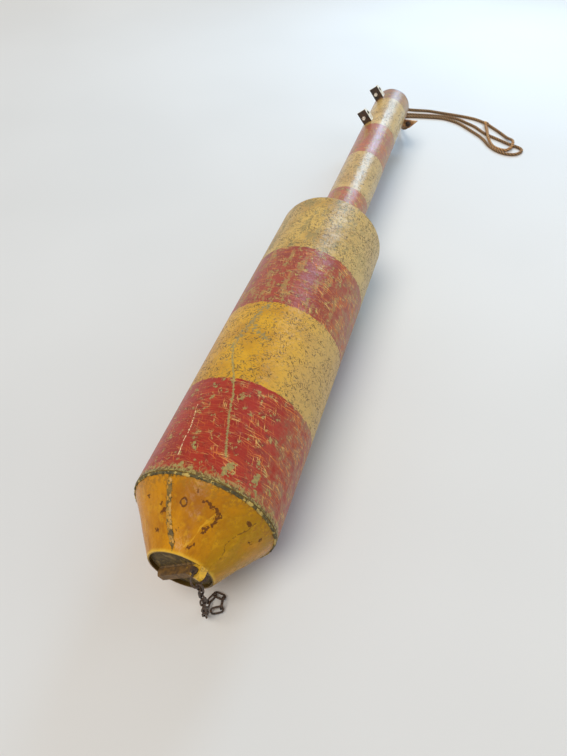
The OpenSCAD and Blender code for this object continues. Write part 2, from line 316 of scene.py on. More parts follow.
# banded paint under varnish with scratches, cracks, worn patches and, on the float, its single marks
def makeBuoyPaint(name, radius, onMast=False):
    paint, share = buoyPaint, buoyPaint["share"]
    material, tree = newMaterial(name, Coat_Weight=paint["mastVarnish" if onMast else "varnish"],
                                 Coat_Roughness=paint["varnishRough"], Specular_IOR_Level=paint["shine"])
    where, around, along = wrappedMap(tree, radius)
    edge = scaled(grain(where, 55), 0.014, -0.007)
    banded = maths("ADD", along, edge)
    colour = bandSteps(banded, [band[1] for band in bandTable])
    facts = joined("SeparateColor", {0: bandSteps(banded, [(band[2], band[3], 0, 1) for band in bandTable])})
    red, worn = facts.outputs[0], facts.outputs[1]
    yellow = maths("SUBTRACT", 1.0, red)
    right = ramp(around, -0.9 * radius, 0.9 * radius)
    upper = ramp(maths("ABSOLUTE", around), 2.9 * radius, 2.1 * radius)

    # slow change of tone, darker blots, and a tan or grey mottle under the varnish
    cloud = grain(where, 7.5, 4, 0.6)
    bent = crooked(where, 55, 0.006)
    blot = grain(bent, 30, 5, 0.7)
    fine = grain(bent, 105, 4, 0.75)
    colour = tinted(colour, paint["cloudTint"], ramp(cloud, 0.36, 0.68, 0.0, 0.6))
    blots = product(ramp(blot, 0.48, 0.62), red, ramp(cloud, 0.62, 0.42))
    colour = tinted(colour, paint["blotTint"], blots)
    colour = tinted(colour, paint["fineTint"], ramp(fine, 0.5, 0.72, 0.0, 0.5))
    streaks = grain(stretched(bent, 0, 34, 9), 1.0, 3, 0.6)
    mottle = product(ramp(scaled(streaks, 1.3, fine), 1.2, 1.27), ramp(worn, 0.5, 0.9))
    mottleColour = blendColour(yellow, paint["tan"], paint["grey"])
    colour = layers(colour, (mottleColour, mottle, share["mottle"]))

    # flakes off the red, down to a tan coat with olive specks
    chance = cellChance(bent, 135)
    tan = blendColour(ramp(grain(where, 150), 0.44, 0.56), paint["tan"], paint["olive"])
    flake = product(ramp(scaled(blot, 0.9, chance), 1.125, 1.14), red)
    colour = layers(colour, (tan, flake, share["flake"]))

    # scratches through the red: long bent lines, more of them to the right, over brush marks and a worn right side
    curve = crooked(where, 9, 0.011)
    lines = strokesOn(curve, paint["scratchKinds"], 290, 0.605, 0.65)
    cluster = ramp(grain(where, 15, 2), 0.36, 0.54)
    rub = product(lines, cluster, scaled(right, 0.5, 0.5), red)
    brushed = product(strokesOn(curve, [(90, 7)], 260, 0.5, 0.66), red)
    fade = product(ramp(around, 0.5 * radius, 1.2 * radius), red, ramp(blot, 0.34, 0.58), upper)
    colour = layers(colour, (paint["brushed"], brushed, share["brushed"]), (paint["wornRed"], fade, share["fade"]))
    rubColour = blendColour(ramp(blot, 0.48, 0.62), paint["orange"], paint["scratch"])
    colour = blendColour(rub, colour, rubColour)

    # the yellow is bleached towards the right, and has short dark strokes and crackle
    toRight = ramp(scaled(cloud, 0.5 * radius, around), 0.35 * radius, 1.25 * radius)
    bleached = product(toRight, yellow, upper)
    colour = layers(colour, (paint["bleached"], bleached, share["bleached"]))
    strokes = strokesOn(bent, paint["crackKinds"], 230, 0.595, 0.64)
    dark = product(strokes, ramp(grain(where, 19, 3), 0.36, 0.54), scaled(yellow, 0.85, 0.1))
    pepper = product(ramp(scaled(worn, 0.07, fine), 0.6, 0.66), yellow, ramp(cloud, 0.3, 0.46))
    colour = layers(colour, (paint["olive"], pepper, share["pepper"]), (paint["crack"], dark, share["crack"]))
    bare = most(dark, rub, flake, mottle)

    if not onMast:
        near = crooked(where, 90, 0.003)
        speck = grain(where, 150, 4, 0.7)
        line = markMask(near, radius, floatMarks["wornLine"], speck)
        pale = markMask(near, radius, floatMarks["paleScratch"], speck)
        primer = most(markMask(bent, radius, floatMarks["primer"], chance),
                      markMask(bent, radius, floatMarks["chip"], chance))
        smudge = markMask(bent, radius, floatMarks["smudge"], fine)
        lineColour = blendColour(ramp(fine, 0.46, 0.54), paint["tan"], paint["olive"])
        colour = layers(colour, (paint["grey"], smudge, share["smudge"]), (tan, primer, share["primer"]),
                        (lineColour, line, share["line"]))
        colour = blendColour(pale, colour, paint["cream"])
        # rough, dirty paint over the seam weld, with spatter above it
        seam = ramp(scaled(speck, 0.04, along), 0.034, 0.024)
        spatter = product(ramp(scaled(blot, -0.07, along), -0.006, -0.024), ramp(fine, 0.46, 0.54))
        seamColour = blendColour(ramp(fine, 0.46, 0.58), paint["dirt"], paint["tan"])
        colour = layers(colour, (paint["tan"], spatter, share["spatter"]), (seamColour, seam, share["seam"]))
        bare = most(bare, primer, line, seam)

    rough = scaled(bare, 0.26, scaled(blot, 0.34, 0.26))
    relief = scaled(fine, 0.55, scaled(bare, -0.16, grain(where, 30, 3)))
    return dressed(material, colour, rough, relief, paint["bump"])


# colours of the tail cone's paint, how strongly each kind of wear shows, and its one ring of rust in metres
conePaint = {
    # some of these colours are painted light: a darker olive for the right side and a dark for the recess as painted
    # shade, a light gold for the ridge and the rim's top as painted highlights
    "gold": (0.55, 0.225, 0.002, 1), "deep": (0.34, 0.118, 0.002, 1), "light": (0.68, 0.34, 0.008, 1),
    "oliveShade": (0.4, 0.215, 0.002, 1), "rust": (0.105, 0.032, 0.005, 1), "dirt": (0.105, 0.066, 0.01, 1),
    "speck": (0.34, 0.15, 0.01, 1), "inside": (0.05, 0.032, 0.008, 1), "ridgeHighlight": (0.84, 0.47, 0.03, 1),
    "crease": (0.13, 0.055, 0.005, 1), "litRim": (0.8, 0.5, 0.05, 1),
    "share": {"oliveShade": 0.85, "ridgeHighlight": 0.34, "spatter": 0.8, "strip": 0.85, "seam": 0.92, "pits": 0.5, "rust": 0.9,
              "crease": 0.75, "rim": 0.7, "inside": 0.94},
    "mapRadius": 0.15, "ringPlace": (-58, 95), "ringRadius": 0.0078, "ringWide": (0.0026, 0.001),
    "ringInside": (0.0092, 0.008), "varnish": 0.16, "varnishRough": 0.17, "shine": 0.1, "bump": 0.004}


# deep golden paint under gloss varnish, with rust, a painted highlight along a dent's ridge, a crease, a weld strip
# and a spattered seam
def makeConePaint():
    paint, share = conePaint, conePaint["share"]
    radius = paint["mapRadius"]
    material, tree = newMaterial("conePaint", Coat_Weight=paint["varnish"], Specular_IOR_Level=paint["shine"],
                                 Coat_Roughness=paint["varnishRough"])
    where, around, along = wrappedMap(tree, radius)
    cloud = grain(where, 9, 4, 0.6)
    blot = grain(where, 34, 4, 0.6)
    fine = grain(where, 120, 4, 0.72)
    colour = blendColour(ramp(cloud, 0.4, 0.64), paint["gold"], paint["deep"])
    # the right side is painted a darker olive gold: painted shade
    oliveShade = product(ramp(scaled(blot, 0.09, around), 0.075, 0.215), ramp(cloud, 0.3, 0.56))
    colour = layers(colour, (paint["oliveShade"], oliveShade, share["oliveShade"]))
    colour = blendColour(ramp(blot, 0.5, 0.7, 0.0, 0.55), colour, paint["light"])
    colour = blendColour(ramp(fine, 0.48, 0.74, 0.0, 0.6), colour, paint["deep"])

    # where the marks, the seam's dirt and the pits are
    near = crooked(where, 120, 0.0034)
    chance = cellChance(near, 230)
    rusty = most(markMask(near, radius, coneMarks["rustLine"], chance),
                 markMask(near, radius, coneMarks["rustChip"], chance))
    strip = markMask(near, radius, coneMarks["strip"], fine)
    crease = markMask(near, radius, coneMarks["crease"], fine)
    # painted highlight: a light gold line along the dent's ridge
    ridgeHighlight = markMask(where, radius, coneMarks["ridgeHighlight"], blot)
    far = distanceFrom(near, onMap(radius, *paint["ringPlace"]))
    offRing = maths("ABSOLUTE", maths("SUBTRACT", far, paint["ringRadius"]))
    ring = ramp(offRing, *paint["ringWide"])
    inRing = ramp(far, *paint["ringInside"], 0.0, 0.5)
    spatter = product(ramp(scaled(blot, 0.08, along), 0.002, 0.024), ramp(fine, 0.47, 0.54))
    seam = ramp(scaled(fine, 0.026, along), 0.002, 0.009)
    pits = product(ramp(scaled(blot, 0.5, chance), 0.905, 0.92), ramp(cloud, 0.4, 0.52))
    rust = most(rusty, ring)
    specks = most(inRing, maths("MULTIPLY", pits, share["pits"]))
    colour = layers(colour, (paint["ridgeHighlight"], ridgeHighlight, share["ridgeHighlight"]),
                    (paint["speck"], spatter, share["spatter"]), (paint["dirt"], strip, share["strip"]),
                    (paint["dirt"], seam, share["seam"]))
    colour = blendColour(specks, colour, paint["speck"])
    colour = layers(colour, (paint["rust"], rust, share["rust"]), (paint["crease"], crease, share["crease"]))

    # the rim is painted paler where it faces up, a painted highlight; the wall inside it is dark with dirt and
    # painted shade, darker towards the bottom
    place, facing = split(objectPlace(tree)), facingOf(tree)
    outward = maths("ADD", maths("MULTIPLY", place[0], facing[0]),
                    maths("MULTIPLY", maths("SUBTRACT", place[2], axisZ), facing[2]))
    # painted highlight on the upper half of the rim
    rim = product(ramp(scaled(blot, 0.01, along), -0.145, -0.153), ramp(place[2], axisZ - 0.05, axisZ + 0.03))
    inner = product(ramp(along, -0.14, -0.1465), ramp(outward, 0.01, -0.004))
    # painted shade with dirt inside the recess, stronger lower down
    low = product(inner, ramp(place[2], axisZ + 0.08, axisZ - 0.02, 0.35, 1.0))
    colour = layers(colour, (paint["litRim"], rim, share["rim"]), (paint["inside"], low, share["inside"]))

    bare = most(rusty, strip, seam, pits)
    rough = scaled(bare, 0.4, scaled(blot, 0.22, 0.16))
    height = scaled(cloud, 1.0, maths("MULTIPLY", blot, 0.3))
    return dressed(material, colour, rough, scaled(rust, -0.18, height), paint["bump"])


endPaint = {"pale": (0.33, 0.15, 0.095, 1), "deep": (0.24, 0.085, 0.05, 1), "worn": (0.115, 0.055, 0.022, 1),
            "wornShare": 0.7, "edge": (0.092, 0.098), "varnish": 0.2, "bump": 0.0014}


# faded paint on the mast's flat end, rubbed through to rust at its edge
def makeEndPaint():
    paint = endPaint
    material, tree = newMaterial("mastEndPaint", Coat_Weight=paint["varnish"])
    place = objectPlace(tree)
    tone = grain(place, 30, 5, 0.65)
    fine = grain(place, 130, 4, 0.7)
    away = distanceFrom(place, (0, mastEndY, axisZ))
    colour = blendColour(ramp(tone, 0.38, 0.62), paint["pale"], paint["deep"])
    colour = blendColour(ramp(fine, 0.54, 0.64, 0.0, 0.6), colour, buoyPaint["tan"])
    worn = ramp(scaled(fine, 0.016, away), *paint["edge"])
    colour = layers(colour, (paint["worn"], worn, paint["wornShare"]))
    return dressed(material, colour, scaled(fine, 0.4, 0.22), scaled(fine, 0.5, tone), paint["bump"])


# rusty plates and welds: two tones of rust, what is left of the paint and its share, and the rust's roughness
rustedPlates = {
    "endPlateRust": ((0.11, 0.068, 0.014, 1), (0.05, 0.031, 0.008, 1), (0.17, 0.105, 0.02, 1), 0.3, 0.6),
    "mooringPlateRust": ((0.175, 0.086, 0.015, 1), (0.07, 0.034, 0.008, 1), (0.8, 0.46, 0.03, 1), -0.35, 0.5),
    "lugRust": ((0.47, 0.205, 0.06, 1), (0.24, 0.095, 0.028, 1), (0.6, 0.34, 0.13, 1), 0.35, 0.55),
    "seamWeld": ((0.125, 0.092, 0.02, 1), (0.035, 0.026, 0.007, 1), (0.52, 0.36, 0.08, 1), 0.35, 0.6),
    "coneWeld": ((0.2, 0.115, 0.012, 1), (0.045, 0.03, 0.008, 1), (0.5, 0.24, 0.01, 1), 0.55, 0.55),
    "shoulderWeld": ((0.46, 0.3, 0.09, 1), (0.22, 0.17, 0.07, 1), (0.55, 0.36, 0.1, 1), 0.4, 0.55),
    "tailWeld": ((0.16, 0.085, 0.022, 1), (0.06, 0.034, 0.012, 1), (0.3, 0.17, 0.03, 1), 0.1, 0.55)}
rustPits = {"colour": (0.05, 0.028, 0.012, 1), "share": 0.6, "bump": 0.0011}
mooringPlate = {"turn": 41, "paintFrom": 0.062}  # its turn in degrees, and where its paint starts in metres


# the mooring plate's end at its eye keeps thick yellow paint
def yellowEnd(place, tone):
    a = math.radians(mooringPlate["turn"])
    along = vectors("DOT_PRODUCT", {0: place, 1: (math.cos(a), 0, math.sin(a))}, "Value")
    start = axisZ * math.sin(a) + mooringPlate["paintFrom"]
    return ramp(scaled(tone, 0.03, along), start + 0.01, start + 0.022)


# rusty steel with paint left on part of it
def makeRustedPlate(name):
    low, high, paint, share, roughness = rustedPlates[name]
    material, tree = newMaterial(name)
    place = objectPlace(tree)
    tone = grain(place, 70, 5, 0.65)
    colour = blendColour(ramp(tone, 0.36, 0.64), low, high)
    bar = 0.62 - share * 0.3
    left = ramp(grain(place, 48, 4, 0.65), bar, bar + 0.04)
    if name == "mooringPlateRust":
        left = most(left, yellowEnd(place, tone))
    colour = blendColour(left, colour, blendColour(ramp(tone, 0.46, 0.66, 0.0, 0.7), paint, low))
    pits = ramp(grain(place, 260, 4, 0.7), 0.58, 0.66)
    colour = layers(colour, (rustPits["colour"], pits, rustPits["share"]))
    rough = scaled(left, -0.22, scaled(tone, 0.25, roughness))
    return dressed(material, colour, rough, scaled(pits, -0.5, maths("ADD", tone, left)), rustPits["bump"])


chainRust = {"low": (0.016, 0.011, 0.009, 1), "high": (0.075, 0.038, 0.019, 1), "worn": (0.26, 0.19, 0.13, 1),
             "wornShare": 0.5, "metal": 0.2, "bump": 0.0009}


def makeChainRust():
    material, tree = newMaterial("chainRust", Metallic=chainRust["metal"])
    place = objectPlace(tree)
    tone = grain(place, 150, 5, 0.7)
    colour = blendColour(ramp(tone, 0.36, 0.6), chainRust["low"], chainRust["high"])
    worn = ramp(grain(place, 340, 3, 0.6), 0.58, 0.68)
    colour = layers(colour, (chainRust["worn"], worn, chainRust["wornShare"]))
    return dressed(material, colour, scaled(tone, 0.35, 0.36), maths("ADD", tone, worn), chainRust["bump"])


bracketPaint = {
    # the brown and dark colours serve as rust, chips and painted shade
    "pale": (0.9, 0.84, 0.7, 1), "stained": (0.6, 0.46, 0.27, 1), "brown": (0.07, 0.03, 0.01, 1),
    "dark": (0.02, 0.011, 0.006, 1), "chipShare": 0.6, "varnish": 0.2, "bump": 0.0006,
    "holes": ((-0.06462, 1.038, 0.31495), (-0.06462, 1.316, 0.31495)), "holeAxis": (0.78801, 0, 0.61566),
    "holeEdge": (0.011, 0.01)}


# cream paint on the side plates and edges; the faces towards the tail brown, partly rust and partly painted shade;
# the holes darkened as painted shade
def makeBracketSteel():
    paint = bracketPaint
    material, tree = newMaterial("bracketPaint", Coat_Weight=paint["varnish"])
    place = objectPlace(tree)
    # faces towards the tail: brown, partly painted shade
    tailFaceShade = ramp(facingOf(tree)[1], -0.4, -0.8)
    tone = grain(place, 75, 4, 0.6)
    pale = blendColour(ramp(tone, 0.42, 0.7), paint["pale"], paint["stained"])
    brown = blendColour(ramp(tone, 0.4, 0.62), paint["brown"], paint["dark"])
    chips = ramp(grain(place, 200, 4, 0.7), 0.58, 0.64)
    colour = blendColour(tailFaceShade, pale, brown)
    colour = layers(colour, (paint["dark"], chips, paint["chipShare"]))
    for hole in paint["holes"]:
        away = vectors("SUBTRACT", {0: place, 1: hole})
        offAxis = vectors("CROSS_PRODUCT", {0: away, 1: paint["holeAxis"]})
        far = vectors("LENGTH", {0: offAxis}, "Value")
        # painted shade inside the holes
        holeShade = ramp(scaled(tone, 0.004, far), *paint["holeEdge"])
        colour = blendColour(holeShade, colour, paint["dark"])
    return dressed(material, colour, scaled(chips, 0.3, 0.34), scaled(chips, -0.5, tone), paint["bump"])


boltSteel = {"bright": (0.92, 0.88, 0.78, 1), "stained": (0.46, 0.3, 0.16, 1), "metal": 0.4, "bump": 0.0004}


def makeBoltSteel():
    material, tree = newMaterial("boltSteel", Metallic=boltSteel["metal"])
    tone = grain(objectPlace(tree), 190, 4, 0.6)
    colour = blendColour(ramp(tone, 0.44, 0.68), boltSteel["bright"], boltSteel["stained"])
    return dressed(material, colour, scaled(tone, 0.3, 0.2), tone, boltSteel["bump"])


# the colours for the grooves and towards the mast are painted shade, the crowns' colour a painted highlight
hempRope = {"light": (0.38, 0.17, 0.052, 1), "deep": (0.2, 0.08, 0.024, 1), "mastShade": (0.085, 0.036, 0.013, 1),
            "eye": (0.46, 0.195, 0.055, 1), "crownHighlight": (0.8, 0.48, 0.2, 1), "groove": (0.015, 0.007, 0.004, 1),
            "eyeShare": 0.75, "darkFrom": (0.42, 0.18), "rough": 0.85, "bump": 0.0012}


# hemp: yarns along each strand; painted shade dark in the grooves and darker towards the mast, a painted highlight
# on the strands' crowns, more orange round the eye
def makeRopeFibre():
    material, tree = newMaterial("hempRope", Roughness=hempRope["rough"])
    groove = addNode(tree, "Attribute", attribute_name="groove").outputs["Fac"]
    served = addNode(tree, "Attribute", attribute_name="served").outputs["Fac"]
    strand = addNode(tree, "UVMap", uv_map="lay").outputs[0]
    yarn = grain(stretched(strand, 0, 5, 55), 1.0, 3, 0.7)
    tone = grain(objectPlace(tree), 18, 3, 0.6)
    colour = blendColour(ramp(tone, 0.38, 0.66), hempRope["light"], hempRope["deep"])
    # painted shade: darker towards the mast, where it shades the rope
    towardMastShade = ramp(split(objectPlace(tree))[0], *hempRope["darkFrom"], 0.0, 0.75)
    colour = blendColour(towardMastShade, colour, hempRope["mastShade"])
    colour = layers(colour, (hempRope["eye"], served, hempRope["eyeShare"]))
    # painted highlight on the strands' crowns
    litCrowns = ramp(scaled(groove, -0.7, yarn), 0.3, 0.55, 0.0, 0.6)
    colour = blendColour(litCrowns, colour, hempRope["crownHighlight"])
    # painted shade in the grooves between strands
    colour = blendColour(ramp(groove, 0.06, 0.28, 0.0, 0.97), colour, hempRope["groove"])
    return dressed(material, colour, None, yarn, hempRope["bump"])


materials = {
    "float": makeBuoyPaint("floatPaint", floatRadius),
    "mast": makeBuoyPaint("mastPaint", mastRadius, True),
    "cone": makeConePaint(),
    "mastEnd": makeEndPaint(),
    "chain": makeChainRust(),
    "bracket": makeBracketSteel(),
    "bolt": makeBoltSteel(),
    "rope": makeRopeFibre(),
}
for plateName in rustedPlates:
    materials[plateName] = makeRustedPlate(plateName)
print("stage: materials made")

looks = {"float": ("float_barrel", "top_cone"), "cone": ("bottom_cone",), "endPlateRust": ("end_plate",),
         "mooringPlateRust": ("mooring_plate",), "mast": ("mast_tube",), "mastEnd": ("mast_cap",),
         "chain": ("ballast_block", "shackle_bow", "shackle_pin", "hanging_chain", "heaped_chain"),
         "bracket": ("lower_bracket", "upper_bracket"), "bolt": ("bracket_bolts",), "lugRust": ("rope_lug",),
         "rope": ("rope", "rope_knot")}
for look, nodeNames in looks.items():
    for nodeName in nodeNames:
        mesh = nodes[nodeName].data
        mesh.materials.clear()
        mesh.materials.append(materials[look])


# a finished bmesh as a piece at the origin, riding on its body
def newPiece(name, bm, look, body):
    mesh = bpy.data.meshes.new(name)
    bm.to_mesh(mesh)
    bm.free()
    piece = bpy.data.objects.new(name, mesh)
    scene.collection.objects.link(piece)
    mesh.materials.append(materials[look])
    for face in mesh.polygons:
        face.use_smooth = True
    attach(piece, body)
    return piece


# even points on a smooth curve through the given ones
def smoothRoute(points, gap):
    dense, parts = [], 24
    for i in range(len(points) - 1):
        p0, p1, p2, p3 = points[max(i - 1, 0)], points[i], points[i + 1], points[min(i + 2, len(points) - 1)]
        for k in range(parts):
            u = k / parts
            dense.append(0.5 * ((2 * p1) + (p2 - p0) * u + (2 * p0 - 5 * p1 + 4 * p2 - p3) * u * u
                                + (3 * p1 - p0 - 3 * p2 + p3) * u ** 3))
    dense.append(points[-1])
    even, left = [dense[0]], gap
    for a, b in zip(dense, dense[1:]):
        step = (b - a).length
        while step >= left:
            a = a + (b - a) * (left / step)
            even.append(a)
            step = (b - a).length
            left = gap
        left -= step
    return even


# each point of a route with a side that turns as little as it can, and the way over it
def framesAlong(route, side):
    frames = []
    for i, point in enumerate(route):
        ahead = (route[min(i + 1, len(route) - 1)] - route[max(i - 1, 0)]).normalized()
        side = (side - ahead * side.dot(ahead)).normalized()
        frames.append((point, side, ahead.cross(side)))
    return frames


# a bmesh with the layers that the rope's material reads
def newRopeMesh():
    bm = bmesh.new()
    groove = bm.verts.layers.float.new("groove")
    served = bm.verts.layers.float.new("served")
    return bm, groove, served, bm.loops.layers.uv.new("lay")


# the rope in metres: its lay, its grooves along it and at its eye, and how far before its end the eye starts
ropeSizes = {"diameter": 0.015, "reach": 0.0081, "lift": 0.0002, "lay": 0.05, "strands": 3,
             "corners": 18, "ring": 0.003, "roundness": 0.7, "groove": 0.34, "shallower": 0.2,
             "eye": 0.44, "eyeFade": 0.03}
# its route in millimetres: [x, y, z] from the lug's hole down, then [x, y, lift] on the floor from the mast's end
ropeDrop = [(0, 0, 0), (0, 25, 0), (-3, 60, -25), (-18, 110, -75), (-45, 170, -108)]
ropeFloor = [
    (30, 246, 0), (25, 296, 0), (50, 328, 0), (115, 348, 0), (180, 361, 0), (245, 371, 0),
    (300, 361, 0), (355, 334, 0), (400, 294, 0), (445, 252, 0), (485, 212, 0), (514, 171, 0),
    (540, 124, 0), (582, 79, 0), (632, 56, 0), (680, 61, 0), (710, 92, 0), (717, 124, 0),
    (700, 146, 0), (668, 160, 0), (630, 180, 0), (592, 204, 0), (550, 228, 0), (512, 252, 0),
    (475, 290, 0), (440, 326, 0), (390, 358, 0), (340, 388, 0), (280, 398, 0), (220, 392, 0),
    (135, 378, 0), (60, 364, 0), (0, 352, 0), (-42, 346, 0), (-76, 362, 0), (-86, 390, 0),
    (-68, 417, 0), (-30, 426, 0), (45, 424, 0), (105, 432, 0), (165, 442, 0), (240, 438, 0),
    (320, 434, 0), (385, 428, 0), (450, 412, 0), (505, 374, 2), (575, 308, 0), (630, 238, 3),
    (658, 191, 15), (664, 151, 18), (658, 118, 8), (635, 96, 0), (602, 96, 0), (565, 117, 2),
    (540, 158, 8), (525, 201, 17), (518, 246, 18), (512, 296, 10), (506, 336, 3), (504, 358, 11)]
ropeLug = {"angle": -30, "out": 0.121, "back": 0.041}  # where its hole is: degrees, then metres
lugHole = onBuoy(ropeLug["angle"], ropeLug["out"], 0, mastEndY - ropeLug["back"] - seamY)


# a laid rope along its route, its grooves kept as an attribute and its yarns as a map
def makeRope():
    sizes = ropeSizes
    lie = sizes["reach"] + sizes["lift"]
    marks = [lugHole + Vector(p) / 1000 for p in ropeDrop]
    marks += [Vector((x, mastEndY * 1000 + y, lift)) / 1000 + Vector((0, 0, lie)) for x, y, lift in ropeFloor]
    route = [Vector((p.x, p.y, max(p.z, lie))) for p in smoothRoute(marks, sizes["ring"])]
    whole = sum((b - a).length for a, b in zip(route, route[1:]))
    bm, groove, served, layMap = newRopeMesh()
    corners = sizes["corners"]
    rings, along = [], 0.0
    for i, (point, side, over) in enumerate(framesAlong(route, Vector((1, 0, 0)))):
        twist = 2 * math.pi * along / sizes["lay"]
        eye = min(max((along - whole + sizes["eye"]) / sizes["eyeFade"], 0), 1)
        deep = sizes["groove"] - sizes["shallower"] * eye
        ring = []
        for k in range(corners):
            a = 2 * math.pi * k / corners
            lobe = abs(math.cos(sizes["strands"] / 2 * a)) ** sizes["roundness"]
            vert = bm.verts.new(point + (side * math.cos(a + twist) + over * math.sin(a + twist))
                                * sizes["reach"] * (1 - deep + deep * lobe))
            vert[groove] = (1 - lobe) * (1 - 0.5 * eye)
            vert[served] = eye
            ring.append(vert)
        rings.append((ring, along))
        if i + 1 < len(route):
            along += (route[i + 1] - point).length
    for (a, startAlong), (b, endAlong) in zip(rings, rings[1:]):
        for k in range(corners):
            n = (k + 1) % corners
            face = bm.faces.new((a[k], a[n], b[n], b[k]))
            spots = ((startAlong, k), (startAlong, k + 1), (endAlong, k + 1), (endAlong, k))
            for loop, (u, v) in zip(face.loops, spots):
                loop[layMap].uv = (u * 10, v / corners)
    bm.faces.new(list(reversed(rings[0][0])))
    bm.faces.new(rings[-1][0])
    bmesh.ops.recalc_face_normals(bm, faces=bm.faces)
    rope = newPiece("mooringRope", bm, "rope", "buoy")
    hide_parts("rope")
    return rope, route, whole


barNoise = {"coarse": 170, "fine": 430, "fineShare": 0.7, "tip": 0.4, "tipRings": 3}


# a round bar swept along a route by bridging circles, flattened, with thin tips, and swelling a little by noise
def sweepBar(bm, route, wide, high, outward, corners=8, rough=0.0, taper=True):
    rings = []
    last = len(route) - 1
    for i, (point, side, over) in enumerate(framesAlong(route, outward)):
        coarse, fine = noise.noise(point * barNoise["coarse"]), noise.noise(point * barNoise["fine"])
        swell = 1 + rough * (coarse + barNoise["fineShare"] * fine)
        swell *= min(1, barNoise["tip"] + min(i, last - i) / barNoise["tipRings"]) if taper else 1
        ring = bmesh.ops.create_circle(bm, cap_ends=False, segments=corners, radius=1)["verts"]
        for v in ring:
            v.co = point + side * v.co.x * high * swell + over * v.co.y * wide * swell
        rings.append(ring)
    for a, b in zip(rings, rings[1:]):
        pair = set(a) | set(b)
        edges = {e for v in pair for e in v.link_edges if e.other_vert(v) in pair}
        loops = [e for e in edges if (e.verts[0] in a) == (e.verts[1] in a)]
        bmesh.ops.bridge_loops(bm, edges=loops)
    for ring in (rings[0], rings[-1]):
        bmesh.ops.contextual_create(bm, geom=ring)
    bmesh.ops.recalc_face_normals(bm, faces=bm.faces)


# a stopper knot of three turns against the lug: [radius, way back, tilt] in metres and degrees
knotSizes = {"bar": 0.0052, "corners": 10, "steps": 30, "overlap": 3, "yarns": 9, "slant": 420,
             "turns": ((0.0086, 0.0056, 12), (0.008, 0.011, -16), (0.0056, 0.0158, 8))}


def makeRopeKnot():
    bm, groove = newRopeMesh()[:2]
    steps, bar = knotSizes["steps"], knotSizes["bar"]
    angles = [2 * math.pi * k / steps for k in range(steps + knotSizes["overlap"])]
    for reach, back, tilt in knotSizes["turns"]:
        lean = Matrix.Rotation(math.radians(tilt), 3, "X")
        route = [lean @ Vector((reach * math.cos(a), 0, reach * math.sin(a))) - Vector((0, back, 0)) for a in angles]
        sweepBar(bm, route, bar, bar, Vector((0, 1, 0)), knotSizes["corners"], taper=False)
    for v in bm.verts:
        turned = math.atan2(v.co.z, v.co.x)
        v[groove] = 0.5 + 0.45 * math.sin(knotSizes["yarns"] * turned + v.co.y * knotSizes["slant"])
    bmesh.ops.translate(bm, verts=bm.verts, vec=lugHole)
    knot = newPiece("ropeKnot", bm, "rope", "buoy")
    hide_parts("rope_knot")
    return knot


# twine round the throat of the eye, in metres: its middle from the mast's end, its turns, half sizes and directions
twineSizes = {"middle": (0.5045, 0.366, 0.0155), "bar": 0.0013, "corners": 7, "turns": 6, "steps": 26,
              "long": 0.0178, "flat": 0.0088, "gap": 0.0025, "ahead": (0.77, -0.64, 0),
              "across": (-0.06, -0.87, 0.49)}


def makeEyeTwine():
    sizes = twineSizes
    middle = Vector(sizes["middle"]) + Vector((0, mastEndY, 0))
    ahead, across = Vector(sizes["ahead"]).normalized(), Vector(sizes["across"])
    across = (across - ahead * across.dot(ahead)).normalized()
    over = ahead.cross(across)
    route = []
    for k in range(sizes["turns"] * sizes["steps"]):
        a = 2 * math.pi * k / sizes["steps"]
        route.append(middle + across * math.cos(a) * sizes["long"] + over * math.sin(a) * sizes["flat"]
                     + ahead * (k / sizes["steps"] - sizes["turns"] / 2) * sizes["gap"])
    bm = newRopeMesh()[0]
    sweepBar(bm, route, sizes["bar"], sizes["bar"], across, sizes["corners"], taper=False)
    return newPiece("eyeTwine", bm, "rope", "buoy")


rope, ropeRoute, ropeLength = makeRope()
ropeKnot = makeRopeKnot()
eyeTwine = makeEyeTwine()
print("stage: rope made, length", round(ropeLength, 3), "m")

# the tail's cone in metres, and its dents: along, angle, half length, half width and depth in mm and degrees
coneShape = {
    "rim": mastRadius, "bore": 0.085, "length": 0.158, "recess": 0.01, "plate": 0.008, "bevel": 0.0006,
    "rings": 44, "steps": 240, "waver": 0.0004, "fadeAtSeam": 0.012, "fadeAtRim": 0.014, "sharp": 0.6,
    "dents": [(-92, 46, 56, 40, 6.0), (-66, 84, 26, 22, 1.6), (-112, 90, 38, 27, 3.4), (-56, 132, 34, 30, 1.8),
              (-104, 21, 44, 30, 2.6), (-48, 24, 26, 34, 1.3), (-96, -30, 40, 34, 2.4), (-60, 176, 40, 36, 2.2),
              (-108, 150, 30, 26, 1.5), (-90, 214, 44, 34, 2.8), (-50, 262, 34, 30, 1.6)]}


# the cone's own radius at a place along the buoy
def coneRadius(along):
    return floatRadius + along * (floatRadius - coneShape["rim"]) / coneShape["length"]


def coneDepth(along, angle):
    depth = coneShape["waver"] * (1 + noise.noise(Vector((math.cos(angle), math.sin(angle), along * 9)) * 2.2))
    for middle, turn, halfLong, halfWide, deep in coneShape["dents"]:
        swing = (angle - math.radians(turn) + math.pi) % (2 * math.pi) - math.pi
        far = ((along * 1000 - middle) / halfLong) ** 2 + (swing * coneRadius(along) * 1000 / halfWide) ** 2
        depth = max(depth, deep / 1000 * (1 - far))
    fade = min(1, -along / coneShape["fadeAtSeam"], (coneShape["length"] + along) / coneShape["fadeAtRim"])
    return depth * max(fade, 0)


